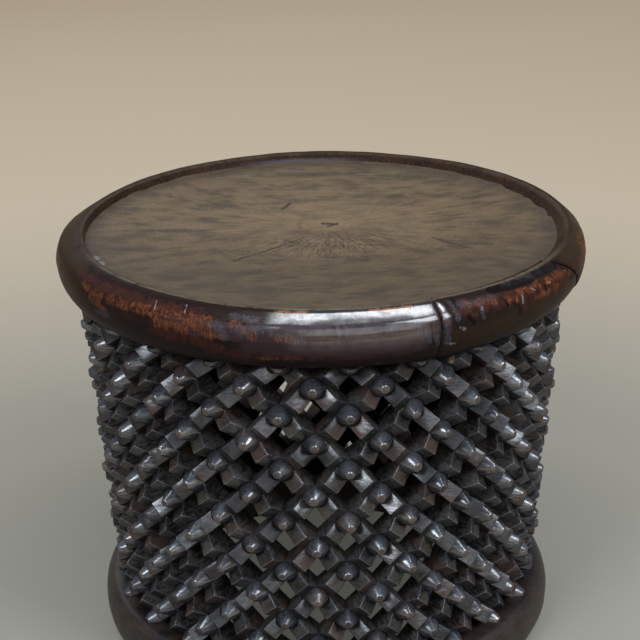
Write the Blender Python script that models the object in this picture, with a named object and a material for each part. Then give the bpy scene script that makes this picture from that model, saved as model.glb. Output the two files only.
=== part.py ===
"""Carved lattice stool, in metres, +Z up, standing on the floor with its axis on the origin.

The real stool is cut from one log: a round dished seat with a thick rolled rim, a hollow drum
whose wall is pierced into a diamond lattice with a stud on every crossing, and a base ring.
One length of the rim is a separate block, let in as a repair. Each carved zone is an object.
The front of the stool faces -Y.
"""
import math

import bmesh
import bpy
from mathutils import Vector

# Overall
SEAT_DIAMETER = 0.500
CLEARANCE = 0.0003
ROUND_SIDES = 72

# Seat: thickness from the underside to the crest of the rim, and the shallow dish inside it
SEAT_THICKNESS = 0.0535
RIM_TOP_WIDTH = 0.0192
RIM_TOP_DROP = 0.022
RIM_UNDERCUT = 0.024
CREST_WEAR_WIDTH = 0.0024
CREST_WEAR_DROP = 0.0009
DISH_WALL_RUN = 0.0094
DISH_EDGE_DEPTH = 0.0094
DISH_SAG = 0.006

# Block let into the rim: a straight joint at the front, a sloping scarf joint at the right
REPAIR_START = math.radians(23.0)
REPAIR_END_TOP = math.radians(58.0)
REPAIR_END_FOOT = math.radians(74.0)
REPAIR_INSET = 0.0014
REPAIR_STEPS = 36

# Drum: how far its wall, between the studs, stands in under the rim and tapers on its way down,
# and the wall's thickness there
LATTICE_HEIGHT = 0.3102
WALL_INSET = 0.0288
WALL_TAPER = 0.0205
WALL_THICKNESS = 0.020
BAR_WIDTH = 0.0135
RIDGE_HEIGHT = 0.010
STUD_HEIGHT = 0.014
STUD_TIP_RADIUS = 0.0036

# The lattice is counted in columns round the drum and in half rows down it
COLUMNS = 48
COLUMNS_PER_PANEL = 4
HALF_ROWS = 12
FIRST_COLUMN_TURN = math.radians(-1.7)

# Base ring: how far it stands out past the wall and in behind it, and its rounded outside
BASE_HEIGHT = 0.045
BASE_OVERHANG = 0.0273
BASE_ROUNDING = 0.0133
BASE_LEDGE = 0.010

# Heights and radii that follow from these
SEAT_RADIUS = SEAT_DIAMETER / 2
LATTICE_FOOT = BASE_HEIGHT + CLEARANCE
LATTICE_TOP = LATTICE_FOOT + LATTICE_HEIGHT
SEAT_UNDERSIDE = LATTICE_TOP + CLEARANCE
CREST_HEIGHT = SEAT_UNDERSIDE + SEAT_THICKNESS
CREST_RADIUS = SEAT_RADIUS - RIM_TOP_WIDTH
DISH_RADIUS = CREST_RADIUS - DISH_WALL_RUN
DISH_EDGE_HEIGHT = CREST_HEIGHT - DISH_EDGE_DEPTH
REPAIR_RADIUS = CREST_RADIUS - REPAIR_INSET
WALL_RADIUS_TOP = SEAT_RADIUS - WALL_INSET
WALL_RADIUS_FOOT = WALL_RADIUS_TOP - WALL_TAPER
BASE_RADIUS = WALL_RADIUS_FOOT + BASE_OVERHANG
HALF_ROW = LATTICE_HEIGHT / HALF_ROWS
COLUMN_TURN = 2 * math.pi / COLUMNS


def clear_scene():
    for leftover in list(bpy.data.objects):
        bpy.data.objects.remove(leftover, do_unlink=True)


def wood(name, color, roughness):
    """A plain oiled wood: the colour seen on this zone of the stool, and how worn it is."""
    material = bpy.data.materials.new(name)
    material.use_nodes = True
    shader = material.node_tree.nodes["Principled BSDF"]
    shader.inputs["Base Color"].default_value = (*color, 1.0)
    shader.inputs["Roughness"].default_value = roughness
    shader.inputs["Metallic"].default_value = 0.0
    return material


def add_object(name, bm, material, smooth_angle=None):
    """Turn a closed bmesh into a named object with its faces pointing out."""
    bmesh.ops.recalc_face_normals(bm, faces=bm.faces[:])
    mesh = bpy.data.meshes.new(name)
    bm.to_mesh(mesh)
    bm.free()
    if smooth_angle is not None:
        mesh.shade_smooth()
        mesh.set_sharp_from_angle(angle=smooth_angle)
    if material is not None:
        mesh.materials.append(material)
    piece = bpy.data.objects.new(name, mesh)
    bpy.context.scene.collection.objects.link(piece)
    return piece


def quarter_ellipse(centre, width, height, start, steps):
    """Profile points on a quarter of an ellipse, anticlockwise from the angle start."""
    points = []
    for step in range(steps + 1):
        angle = start + step / steps * math.pi / 2
        points.append((centre[0] + width * math.cos(angle), centre[1] + height * math.sin(angle)))
    return points


def turned(profile, closed):
    """Spin a profile of (radius, height) points about the stool's axis into a bmesh.

    A closed profile gives a ring. An open one starts and ends on the axis and gives a disc.
    """
    bm = bmesh.new()
    front = Vector((0, -1, 0))
    verts = [bm.verts.new(front * radius + Vector((0, 0, height))) for radius, height in profile]
    edges = [bm.edges.new(pair) for pair in zip(verts, verts[1:])]
    if closed:
        edges.append(bm.edges.new((verts[-1], verts[0])))
    bmesh.ops.spin(bm, geom=verts + edges, cent=(0, 0, 0), axis=(0, 0, 1), angle=2 * math.pi,
                   steps=ROUND_SIDES, use_merge=True)
    bmesh.ops.remove_doubles(bm, verts=bm.verts[:], dist=CLEARANCE / 10)
    return bm


def boolean(piece, cutter, operation):
    """Cut a piece with a cutter, which stays in the file as a hidden wire guide."""
    modifier = piece.modifiers.new(f"{operation.lower()} {cutter.name}", "BOOLEAN")
    modifier.operation = operation
    modifier.object = cutter
    modifier.solver = "EXACT"
    cutter.hide_render = True
    cutter.display_type = "WIRE"


# The seat's floor: a disc of end grain, flat in the middle and rising a little to its edge

FLAT_MIDDLE_SHARE = 0.3
FLOOR_RING_SHARES = (1.0, 0.8, 0.55, FLAT_MIDDLE_SHARE)


def dish_floor_height(share):
    """Height of the dish floor at a share of its radius, past the flat middle."""
    rise = (share - FLAT_MIDDLE_SHARE) / (1 - FLAT_MIDDLE_SHARE)
    return DISH_EDGE_HEIGHT - DISH_SAG * (1 - rise ** 2)


def make_seat_dish():
    radius = DISH_RADIUS - CLEARANCE
    profile = [(0, SEAT_UNDERSIDE), (radius, SEAT_UNDERSIDE)]
    profile += [(radius * share, dish_floor_height(share)) for share in FLOOR_RING_SHARES]
    profile.append((0, dish_floor_height(FLAT_MIDDLE_SHARE)))
    return add_object("seat_dish", turned(profile, closed=False),
                      wood("dish end grain", (0.23, 0.19, 0.145), 0.62), math.radians(30))


# The rolled rim, one ring of the seat, with a notch for the repair block


def rim_profile():
    """Rim section from the underside, round the outside and over the crest into the dish."""
    waist_height = CREST_HEIGHT - RIM_TOP_DROP
    lower_height = waist_height - SEAT_UNDERSIDE
    under = quarter_ellipse((SEAT_RADIUS - RIM_UNDERCUT, waist_height), RIM_UNDERCUT, lower_height,
                            -math.pi / 2, 4)
    over = quarter_ellipse((CREST_RADIUS, waist_height), RIM_TOP_WIDTH, RIM_TOP_DROP, 0.0, 4)
    wall = [(CREST_RADIUS - CREST_WEAR_WIDTH, CREST_HEIGHT - CREST_WEAR_DROP),
            (DISH_RADIUS, DISH_EDGE_HEIGHT), (DISH_RADIUS, SEAT_UNDERSIDE)]
    return under + over[1:] + wall


def around(radius, angle, height):
    """A point at an angle round the stool, counted from the front towards the right."""
    return Vector((radius * math.sin(angle), -radius * math.cos(angle), height))


def repair_space(name, gap):
    """The space of the let-in block, drawn in from its joints by a gap. Its far end slopes."""
    overrun = RIM_TOP_DROP
    inner, outer = REPAIR_RADIUS + gap, SEAT_RADIUS + overrun
    start = REPAIR_START + gap / REPAIR_RADIUS
    far = 2 * REPAIR_END_FOOT - REPAIR_END_TOP
    steps = REPAIR_STEPS
    outline = [(inner, start + (far - start) * step / steps) for step in range(steps + 1)]
    outline += [(outer, angle) for _, angle in reversed(outline)]
    bm = bmesh.new()
    low, high = [[bm.verts.new(around(radius, angle, height)) for radius, angle in outline]
                 for height in (SEAT_UNDERSIDE - overrun, CREST_HEIGHT + overrun)]
    for index, below in enumerate(low):
        bm.faces.new((below, low[index - 1], high[index - 1], high[index]))
    for loop in (low, high):
        for step in range(steps):
            bm.faces.new((loop[step], loop[step + 1], loop[-2 - step], loop[-1 - step]))
    scarf_top = around(SEAT_RADIUS, REPAIR_END_TOP, CREST_HEIGHT)
    scarf_foot = around(SEAT_RADIUS, REPAIR_END_FOOT, SEAT_UNDERSIDE)
    outward = around(1, (REPAIR_END_TOP + REPAIR_END_FOOT) / 2, 0)
    normal = (scarf_top - scarf_foot).cross(outward).normalized()
    cut = bmesh.ops.bisect_plane(bm, geom=bm.verts[:] + bm.edges[:] + bm.faces[:],
                                 plane_co=scarf_top - normal * gap, plane_no=normal,
                                 clear_outer=True)
    rim = [edge for edge in cut["geom_cut"] if isinstance(edge, bmesh.types.BMEdge)]
    bmesh.ops.edgeloop_fill(bm, edges=rim)
    return add_object(name, bm, None)


def make_seat_rim():
    rim = add_object("seat_rim", turned(rim_profile(), closed=True),
                     wood("rim dark red brown", (0.085, 0.038, 0.022), 0.3), math.radians(40))
    boolean(rim, repair_space("guide_rim_notch", 0), "DIFFERENCE")
    return rim


def make_rim_repair_segment():
    block = add_object("rim_repair_segment", turned(rim_profile(), closed=True),
                       wood("rim repair block", (0.10, 0.047, 0.024), 0.32), math.radians(40))
    boolean(block, repair_space("guide_repair_block", CLEARANCE), "INTERSECT")
    return block


# The pierced wall, in upright panels that meet at the ridges of the bars between them.
# Each stud stands on the four hole corners round a crossing and ends in a flat hexagon.

STUD_TIP_SIDES = 6
HOLE_CORNERS = {"left": (-1, 0), "right": (1, 0), "up": (0, -1), "down": (0, 1)}


def wall_radius(height):
    share = (height - LATTICE_FOOT) / LATTICE_HEIGHT
    return WALL_RADIUS_FOOT + share * (WALL_RADIUS_TOP - WALL_RADIUS_FOOT)


def wall_point(column, row, proud, across=0.0, up=0.0):
    """A point of the wall, at a column and a row down it, proud of the ground between studs."""
    height = LATTICE_TOP - row * HALF_ROW + up
    radius = wall_radius(height) + proud
    angle = FIRST_COLUMN_TURN + column * COLUMN_TURN + across / radius
    return Vector((radius * math.sin(angle), -radius * math.cos(angle), height))


def corner_share():
    """How far a hole's corner lies from the crossing, as a share of the way to the next one."""
    column_pitch = COLUMN_TURN * wall_radius(LATTICE_FOOT + LATTICE_HEIGHT / 2)
    return BAR_WIDTH * math.hypot(column_pitch, HALF_ROW) / (2 * column_pitch * HALF_ROW)


class LatticePanel:
    """One panel of the wall: its crossings with their studs, and the bars between them."""

    def __init__(self, first_column):
        self.columns = range(first_column, first_column + COLUMNS_PER_PANEL)
        self.bm = bmesh.new()
        self.placed = {}
        self.share = corner_share()
        self.cut_back = CLEARANCE / 2 / math.hypot(COLUMN_TURN * WALL_RADIUS_TOP, HALF_ROW)

    def corner(self, crossing, side, level):
        """A vertex at a hole's corner beside a crossing, on the front or the back of the wall."""
        key = (crossing, side, level)
        if key not in self.placed:
            step = HOLE_CORNERS[side]
            column = crossing[0] + step[0] * self.share
            row = crossing[1] + step[1] * self.share
            proud = -WALL_THICKNESS if level == "back" else 0.0
            self.placed[key] = self.bm.verts.new(wall_point(column, row, proud))
        return self.placed[key]

    def between(self, start, start_side, end, end_side, share, level):
        """A vertex part of the way along a bar's edge, up on its ridge or on its back."""
        places = []
        for crossing, side in ((start, start_side), (end, end_side)):
            step = HOLE_CORNERS[side]
            places.append([crossing[axis] + step[axis] * self.share for axis in (0, 1)])
        column, row = (a + (b - a) * share for a, b in zip(*places))
        proud = -WALL_THICKNESS if level == "back" else RIDGE_HEIGHT
        return self.bm.verts.new(wall_point(column, row, proud))

    def add_crossing(self, crossing):
        """A stud on its foot, the back of the crossing, and a flat end on the first or last row."""
        first, last = crossing[1] == 0, crossing[1] == HALF_ROWS
        sides = [side for side in ("right", "up", "left", "down")
                 if not (first and side == "up") and not (last and side == "down")]
        begin, sweep = (math.pi, math.pi) if first else (0.0, math.pi if last else 2 * math.pi)
        count = round(STUD_TIP_SIDES * sweep / (2 * math.pi))
        tips = []
        for index in range(count + (1 if first or last else 0)):
            angle = begin + index * sweep / count
            offset = (STUD_TIP_RADIUS * math.cos(angle), STUD_TIP_RADIUS * math.sin(angle))
            tips.append(self.bm.verts.new(wall_point(*crossing, STUD_HEIGHT, *offset)))
        self.bm.faces.new(tips)
        feet = {side: self.corner(crossing, side, "front") for side in sides}
        half = STUD_TIP_SIDES // 2
        if not first:
            self.add_stud_half(feet["right"], feet["up"], feet["left"], tips[:half + 1])
        if not last:
            lower_tips = tips if first else tips[half:] + tips[:1]
            self.add_stud_half(feet["left"], feet["down"], feet["right"], lower_tips)
        backs = [self.corner(crossing, side, "back") for side in sides]
        self.bm.faces.new(backs)
        if first or last:
            ends = [self.corner(crossing, "left", "back"), feet["left"]]
            ends += [tips[0], tips[-1]] if first else [tips[-1], tips[0]]
            ends += [feet["right"], self.corner(crossing, "right", "back")]
            self.bm.faces.new(ends)

    def add_stud_half(self, start, middle, end, tips):
        """Three feet and the four tip points above them, joined by facets."""
        self.bm.faces.new((start, tips[1], tips[0]))
        self.bm.faces.new((start, middle, tips[1]))
        self.bm.faces.new((middle, tips[2], tips[1]))
        self.bm.faces.new((middle, end, tips[2]))
        self.bm.faces.new((end, tips[3], tips[2]))

    def add_bar(self, start, down):
        """The bar from a crossing to the next column, up or down a row, cut at a panel's side."""
        end = (start[0] + 1, start[1] + (1 if down else -1))
        start_sides = ("right", "down" if down else "up")
        end_sides = ("up" if down else "down", "left")
        has_start, has_end = start[0] in self.columns, end[0] in self.columns
        share = 0.5
        if not has_end:
            share -= self.cut_back
        if not has_start:
            share += self.cut_back
        ridge = [self.between(start, a, end, b, share, "ridge") for a, b in zip(start_sides, end_sides)]
        if has_start and has_end:
            halves = []
            for crossing, sides in ((start, start_sides), (end, end_sides)):
                front = [self.corner(crossing, side, "front") for side in sides]
                back = [self.corner(crossing, side, "back") for side in sides]
                self.bm.faces.new((*front, ridge[1], ridge[0]))
                halves.append((front, back))
            (near, near_back), (far, far_back) = halves
            for edge in (0, 1):
                self.bm.faces.new((near[edge], ridge[edge], far[edge], far_back[edge], near_back[edge]))
            self.bm.faces.new((near_back[0], far_back[0], far_back[1], near_back[1]))
            return
        hidden = [self.between(start, a, end, b, share, "back") for a, b in zip(start_sides, end_sides)]
        crossing, sides = (start, start_sides) if has_start else (end, end_sides)
        front = [self.corner(crossing, side, "front") for side in sides]
        back = [self.corner(crossing, side, "back") for side in sides]
        self.bm.faces.new((*front, ridge[1], ridge[0]))
        for edge in (0, 1):
            self.bm.faces.new((front[edge], ridge[edge], hidden[edge], back[edge]))
        self.bm.faces.new((*back, hidden[1], hidden[0]))
        self.bm.faces.new((ridge[0], ridge[1], hidden[1], hidden[0]))

    def build(self):
        for column in range(self.columns[0] - 1, self.columns[-1] + 1):
            for row in range(HALF_ROWS + 1):
                if (column + row) % 2 == 0:
                    continue
                if column in self.columns:
                    self.add_crossing((column, row))
                if row > 0:
                    self.add_bar((column, row), down=False)
                if row < HALF_ROWS:
                    self.add_bar((column, row), down=True)
        return self.bm


def make_lattice_panels():
    for number in range(COLUMNS // COLUMNS_PER_PANEL):
        panel = LatticePanel(number * COLUMNS_PER_PANEL)
        add_object(f"lattice_panel_{number + 1:02d}", panel.build(),
                   wood(f"lattice black brown {number + 1:02d}", (0.035, 0.027, 0.024), 0.38))


# The ring that the stool stands on, rounded outside and open in the middle


def make_base_ring():
    inner = WALL_RADIUS_FOOT - WALL_THICKNESS - BASE_LEDGE
    middle = BASE_HEIGHT / 2
    centre = (BASE_RADIUS - BASE_ROUNDING, middle)
    outside = quarter_ellipse(centre, BASE_ROUNDING, middle, -math.pi / 2, 3)
    outside += quarter_ellipse(centre, BASE_ROUNDING, middle, 0.0, 3)[1:]
    inside = [(inner, BASE_HEIGHT), (inner, 0)]
    return add_object("base_ring", turned(outside + inside, closed=True),
                      wood("base black brown", (0.038, 0.028, 0.024), 0.42), math.radians(40))


clear_scene()
make_seat_dish()
make_seat_rim()
make_rim_repair_segment()
make_lattice_panels()
make_base_ring()
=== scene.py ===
"""A round carved stool, dressed: worn seat, rolled rim with its repair, pierced drum and foot.

Lengths are in metres, and the stool stands on the floor with its front towards -Y.
"""
import math
import random

import bmesh
import bpy
from mathutils import Matrix, Vector, noise


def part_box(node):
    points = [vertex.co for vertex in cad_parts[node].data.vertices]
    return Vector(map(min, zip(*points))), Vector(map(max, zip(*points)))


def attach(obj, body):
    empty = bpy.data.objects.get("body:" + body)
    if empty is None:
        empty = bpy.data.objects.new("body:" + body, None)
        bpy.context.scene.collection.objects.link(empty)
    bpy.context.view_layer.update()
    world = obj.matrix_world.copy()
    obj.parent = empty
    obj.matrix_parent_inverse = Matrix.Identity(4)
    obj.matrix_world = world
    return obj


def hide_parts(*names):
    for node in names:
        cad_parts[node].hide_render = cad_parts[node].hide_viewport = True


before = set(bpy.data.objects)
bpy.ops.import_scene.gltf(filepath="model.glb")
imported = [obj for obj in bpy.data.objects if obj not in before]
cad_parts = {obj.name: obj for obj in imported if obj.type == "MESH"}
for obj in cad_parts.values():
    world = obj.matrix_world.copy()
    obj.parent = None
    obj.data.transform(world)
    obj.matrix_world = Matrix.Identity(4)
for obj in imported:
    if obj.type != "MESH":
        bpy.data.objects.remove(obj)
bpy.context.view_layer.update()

# The view: the photographer's place in front of the stool, looking down on the seat with a long
# lens. One long soft lamp hangs over the front, others stand to the left, the right and behind.

CAMERA_PLACE = Vector((0.0, -1.3759, 0.8670))
CAMERA_PITCH, CAMERA_ROLL, CAMERA_YAW = (math.radians(angle) for angle in (22.215, 0.936, -0.078))
FOCAL_PIXELS, PICTURE_PIXELS, SENSOR_MM = 1523.0, 640, 36.0
FLOOR_HALF_WIDTH = 30.0
FLOOR_SEEN, FLOOR_BOUNCE = (0.36, 0.335, 0.285), (0.12, 0.115, 0.105)
NEAR_GLOW, FAR_GLOW = (0.065, 0.066, 0.056), (0.330, 0.262, 0.178)
GLOW_START, GLOW_END = 0.30, 1.50
WALL_SEEN, CEILING_SEEN = (0.362, 0.294, 0.208), (0.260, 0.300, 0.385)
WALL_END, CEILING_START = 0.10, 0.60
ROOM_LIGHT = (0.055, 0.058, 0.064)
DAYLIGHT, COOL_DAYLIGHT = (0.90, 0.95, 1.0), (0.84, 0.92, 1.0)
LAMPS = (  # name, place, target, width and length, watts, colour
    ("over the front", (0.15, -0.30, 2.60), (0.15, -0.30, 0.0), (2.20, 0.34), 25, DAYLIGHT),
    ("wide front", (0.85, -3.20, 1.65), (0.0, 0.0, 0.30), (3.0, 2.0), 18, COOL_DAYLIGHT),
    ("right front", (2.05, -1.60, 2.28), (0.0, 0.0, 0.25), (1.2, 2.0), 50, COOL_DAYLIGHT),
    ("left front", (-1.53, -2.10, 2.28), (0.0, 0.0, 0.25), (1.1, 2.0), 46, COOL_DAYLIGHT),
    ("weak behind", (-0.90, 2.40, 1.90), (0.0, 0.0, 0.30), (2.0, 1.4), 10, DAYLIGHT))


def add_object(name, data):
    made = bpy.data.objects.new(name, data)
    bpy.context.scene.collection.objects.link(made)
    return made


def add_camera():
    camera = add_object("camera", bpy.data.cameras.new("camera"))
    camera.data.sensor_width = SENSOR_MM
    camera.data.lens = FOCAL_PIXELS * SENSOR_MM / PICTURE_PIXELS
    turn = (Matrix.Rotation(-CAMERA_YAW, 4, "Z") @ Matrix.Rotation(math.pi / 2 - CAMERA_PITCH, 4, "X")
            @ Matrix.Rotation(-CAMERA_ROLL, 4, "Z"))
    camera.matrix_world = Matrix.Translation(CAMERA_PLACE) @ turn
    bpy.context.scene.camera = camera


def add_lamp(name, place, target, size, watts, colour):
    lamp = add_object(name, bpy.data.lights.new(name, "AREA"))
    lamp.data.shape = "RECTANGLE"
    lamp.data.size, lamp.data.size_y = size
    lamp.data.energy = watts
    lamp.data.color = colour
    lamp.location = place
    lamp.rotation_euler = (Vector(target) - Vector(place)).to_track_quat("-Z", "Y").to_euler()


class Flow:
    """A socket of a material. Python's sums on it add Math nodes and give the new socket."""

    def __init__(self, tree, socket=None):
        self.tree, self.socket = tree, socket

    def node(self, kind, settings, sockets, output=0):
        """Add a node, set it up, fill its sockets with values or links, and give one output."""
        made = self.tree.nodes.new("ShaderNode" + kind)
        for name, setting in settings.items():
            setattr(made, name, setting)
        for name, value in sockets.items():
            if isinstance(value, Flow):
                self.tree.links.new(value.socket, made.inputs[name])
            else:
                made.inputs[name].default_value = value
        return Flow(self.tree, made.outputs[output])

    def maths(self, operation, *values):
        return self.node("Math", {"operation": operation}, dict(enumerate(values)))

    def __add__(self, other):
        return self.maths("ADD", self, other)

    def __sub__(self, other):
        return self.maths("SUBTRACT", self, other)

    def __rsub__(self, other):
        return self.maths("SUBTRACT", other, self)

    def __mul__(self, other):
        return self.maths("MULTIPLY", self, other)

    __radd__ = __add__
    __rmul__ = __mul__


def vectors(operation, *values, output=0):
    """Vector maths on places, the first of which is a Flow."""
    return values[0].node("VectorMath", {"operation": operation}, dict(enumerate(values)), output)


def coordinate(place, axis):
    return place.node("SeparateXYZ", {}, {0: place}, axis)


def ease(value, low, high):
    """0 below the low end, 1 above the high end, and a smooth rise between them."""
    return value.node("MapRange", {"interpolation_type": "SMOOTHSTEP"},
                      {"Value": value, "From Min": low, "From Max": high}, "Result")


def tinted(share, before, after):
    """Colour going from one to another by a share. Either may be a Flow or three numbers."""
    colours = [colour if isinstance(colour, Flow) else (*colour, 1) for colour in (before, after)]
    return share.node("Mix", {"data_type": "RGBA"}, {0: share, 6: colours[0], 7: colours[1]}, 2)


def most(*shares):
    """The largest of several shares."""
    top = shares[0]
    for share in shares[1:]:
        top = top.maths("MAXIMUM", top, share)
    return top


def feed(shader, name, value):
    value.tree.links.new(value.socket, shader.inputs[name])


def new_finish(name, shine):
    """A material, its shader and its surface's place in the stool's own coordinates."""
    material = bpy.data.materials.new(name)
    material.use_nodes = True
    shader = material.node_tree.nodes["Principled BSDF"]
    for socket, value in shine.items():
        shader.inputs[socket].default_value = value
    place = Flow(material.node_tree).node("TexCoord", {}, {}, "Object")
    return material, shader, place


def seen_share(tree):
    """1 for what is seen straight, in gloss or through glass, and 0 for light that has bounced."""
    kinds = ("Is Camera Ray", "Is Glossy Ray", "Is Transmission Ray")
    return most(*(Flow(tree).node("LightPath", {}, {}, kind) for kind in kinds))


def add_floor():
    mesh = bpy.data.meshes.new("floor")
    half = FLOOR_HALF_WIDTH
    mesh.from_pydata([(-half, -half, 0), (half, -half, 0), (half, half, 0), (-half, half, 0)], [],
                     [(0, 1, 2, 3)])
    material, shader, place = new_finish("pale floor", {"Roughness": 0.9, "Specular IOR Level": 0.2,
                                                        "Emission Strength": 1.0})
    seen = seen_share(material.node_tree)
    feed(shader, "Base Color", tinted(seen, FLOOR_BOUNCE, FLOOR_SEEN))
    reach = vectors("LENGTH", place, output="Value")
    glow = tinted(ease(reach, GLOW_START, GLOW_END), NEAR_GLOW, FAR_GLOW)
    feed(shader, "Emission Color", tinted(seen, (0, 0, 0), glow))
    mesh.materials.append(material)
    add_object("floor", mesh)


def light_room():
    world = bpy.data.worlds.new("pale room")
    world.use_nodes = True
    upward = coordinate(Flow(world.node_tree).node("TexCoord", {}, {}, "Generated"), "Z")
    room = tinted(ease(upward, WALL_END, CEILING_START), WALL_SEEN, CEILING_SEEN)
    background = world.node_tree.nodes["Background"]
    feed(background, "Color", tinted(seen_share(world.node_tree), ROOM_LIGHT, room))
    bpy.context.scene.world = world
    bpy.context.scene.view_settings.view_transform = "Standard"


add_camera()
add_floor()
light_room()
for lamp in LAMPS:
    add_lamp(*lamp)

# The seat's floor: end grain of the log, hollowed with an adze and worn matt grey by sitting.
# Its pith lies a little behind and right of the middle, with fine checks running out from it.

SEAT_CENTRE_HEIGHT = 0.3939
SEAT_EDGE_HEIGHT = 0.3999
SEAT_FLOOR_RADIUS = 0.2228
SEAT_FLAT_SHARE = 0.3
SEAT_FILLET = 0.0040
SEAT_FILLET_RISE = 0.0014
SEAT_RINGS, SEAT_SPOKES = 84, 288
SEAT_THICKNESS = 0.030
ADZE_MARK = Vector((0.040, 0.026, 1.0))
ADZE_DEPTH = 0.0010
PITH = Vector((0.0093, 0.0266, 0))
SHARP_TURN = math.radians(40)
SEAT_TONES = {
    "tan": (0.207, 0.135, 0.071), "smoke": (0.119, 0.081, 0.043), "pale": (0.292, 0.196, 0.107),
    "smudge_and_shade": (0.052, 0.037, 0.023), "dark": (0.032, 0.022, 0.014), "crack": (0.022, 0.016, 0.012),
    "fleck": (0.60, 0.62, 0.64), "grime_and_shade": (0.052, 0.040, 0.031)}
MM = 0.001
# Marks on the seat in millimetres: from x, y to x, y, and half the width
SEAT_SMUDGES = (
    (-190, -46, -161, -40, 14), (-119, 88, -103, 94, 11), (-137, -126, -114, -120, 12),
    (-109, -146, -87, -140, 13), (-67, -158, -46, -153, 13), (-79, -108, -56, -102, 12),
    (37, 114, 49, 116, 11), (69, 109, 81, 111, 11), (93, 162, 109, 164, 11),
    (102, 30, 124, 33, 10), (134, -38, 158, -42, 7), (26, -72, 40, -74, 10),
    (46, -158, 65, -154, 10), (-150, 10, -128, 14, 9), (16, 186, -40, 184, 14), (-45, 98, -5, 104, 9))
SEAT_CHECKS = (
    (-80, -74, -43, -38, 1.3), (-43, -38, -16, -10, 0.8), (105, -17, 139, -52, 1.3),
    (-35, -121, -22, -118, 1.8), (-37, 79, -30, 95, 2.4), (3, 31, 15, 27, 3), (8, 22, 16, 29, 2.2))
SEAT_FLECKS = ((-205, -71.5, -204, -75.5, 5.6), (-198.5, -86.5, -197.5, -90.5, 5.6))
SEAT_ARCS = ((0.110, 0.0030), (0.118, 0.0018), (0.126, 0.0022), (0.131, 0.0014))
HEART_RADIUS = 0.031


def stretched(place, *sizes):
    """A place counted in cells of the given sizes, so that a texture on it has that scale."""
    return vectors("MULTIPLY", place, tuple(1 / size for size in sizes))


def mottle(cells, detail=3.0, roughness=0.55):
    """Cloudy noise from 0 to 1, mostly near a half, over cells of unit size."""
    return cells.node("TexNoise", {}, {"Vector": cells, "Scale": 1.0, "Detail": detail,
                                      "Roughness": roughness}, "Fac")


def streak(place, start, end, width, softness=0.5):
    """1 along a line on the surface, fading out across the softer part of its half width."""
    start, along = Vector(start), Vector(end) - Vector(start)
    offset = vectors("SUBTRACT", place, tuple(start))
    share = vectors("DOT_PRODUCT", offset, tuple(along / along.length_squared), output="Value")
    share = share.maths("MINIMUM", share.maths("MAXIMUM", share, 0.0), 1.0)
    nearest = share.node("VectorMath", {"operation": "SCALE"}, {0: tuple(along), "Scale": share})
    distance = vectors("LENGTH", vectors("SUBTRACT", offset, nearest), output="Value")
    return 1 - ease(distance, width * (1 - softness), width)


def strokes(place, marks, softness=0.5):
    """The strongest of several streaks, each given by its two ends and its half width."""
    return most(*(streak(place, start, end, width, softness) for start, end, width in marks))


def on_seat(rows):
    """Rows in millimetres as marks that lie on the seat."""
    return [((x * MM, y * MM, 0), (far_x * MM, far_y * MM, 0), half * MM)
            for x, y, far_x, far_y, half in rows]


def bump(shader, height, depth):
    """Raise the shader's surface by a height from 0 to 1 times a depth."""
    normal = height.node("Bump", {}, {"Height": height, "Distance": depth, "Strength": 1.0}, "Normal")
    normal.tree.links.new(normal.socket, shader.inputs["Normal"])


def seat_height(radius, place):
    """Height of the worn seat: level in the middle, rising to the rim, with shallow adze cuts."""
    share = radius / SEAT_FLOOR_RADIUS
    rise = max(0.0, (share - SEAT_FLAT_SHARE) / (1 - SEAT_FLAT_SHARE))
    height = SEAT_CENTRE_HEIGHT + (SEAT_EDGE_HEIGHT - SEAT_CENTRE_HEIGHT) * min(1.0, rise) ** 2
    cell = Vector(place[axis] / ADZE_MARK[axis] for axis in (0, 1, 2))
    height += ADZE_DEPTH * (abs(noise.noise(cell)) - 0.35)
    height += ADZE_DEPTH * 0.35 * noise.noise(cell * 2.7)
    fillet = max(0.0, (radius - SEAT_FLOOR_RADIUS + SEAT_FILLET) / SEAT_FILLET)
    return height + SEAT_FILLET_RISE * fillet ** 2


def solid_of(name, vertices, faces, sharp=SHARP_TURN):
    """A closed mesh object with its faces pointing out, smooth but for its sharp edges."""
    bm = bmesh.new()
    points = [bm.verts.new(vertex) for vertex in vertices]
    for face in faces:
        bm.faces.new([points[index] for index in face])
    bmesh.ops.remove_doubles(bm, verts=bm.verts[:], dist=1e-6)
    bmesh.ops.recalc_face_normals(bm, faces=bm.faces[:])
    mesh = bpy.data.meshes.new(name)
    bm.to_mesh(mesh)
    bm.free()
    mesh.shade_smooth()
    mesh.set_sharp_from_angle(angle=sharp)
    return add_object(name, mesh)


def make_seat():
    vertices, faces = [], []
    for level in range(SEAT_RINGS + 1):
        radius = SEAT_FLOOR_RADIUS * level / SEAT_RINGS
        for spoke in range(SEAT_SPOKES if level else 1):
            angle = 2 * math.pi * spoke / SEAT_SPOKES
            place = Vector((radius * math.sin(angle), -radius * math.cos(angle), 0))
            place.z = seat_height(radius, place)
            vertices.append(place)
    first = lambda level: 1 + (level - 1) * SEAT_SPOKES
    for spoke in range(SEAT_SPOKES):
        following = (spoke + 1) % SEAT_SPOKES
        faces.append((0, first(1) + spoke, first(1) + following))
        for level in range(1, SEAT_RINGS):
            inner, outer = first(level), first(level + 1)
            faces.append((inner + spoke, outer + spoke, outer + following, inner + following))
    edge = first(SEAT_RINGS)
    below = len(vertices)
    for spoke in range(SEAT_SPOKES):
        place = vertices[edge + spoke].copy()
        place.z = SEAT_EDGE_HEIGHT - SEAT_THICKNESS
        vertices.append(place)
    for spoke in range(SEAT_SPOKES):
        following = (spoke + 1) % SEAT_SPOKES
        faces.append((edge + spoke, below + spoke, below + following, edge + following))
    faces.append([below + spoke for spoke in reversed(range(SEAT_SPOKES))])
    return solid_of("hollowed_seat", vertices, faces)


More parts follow.
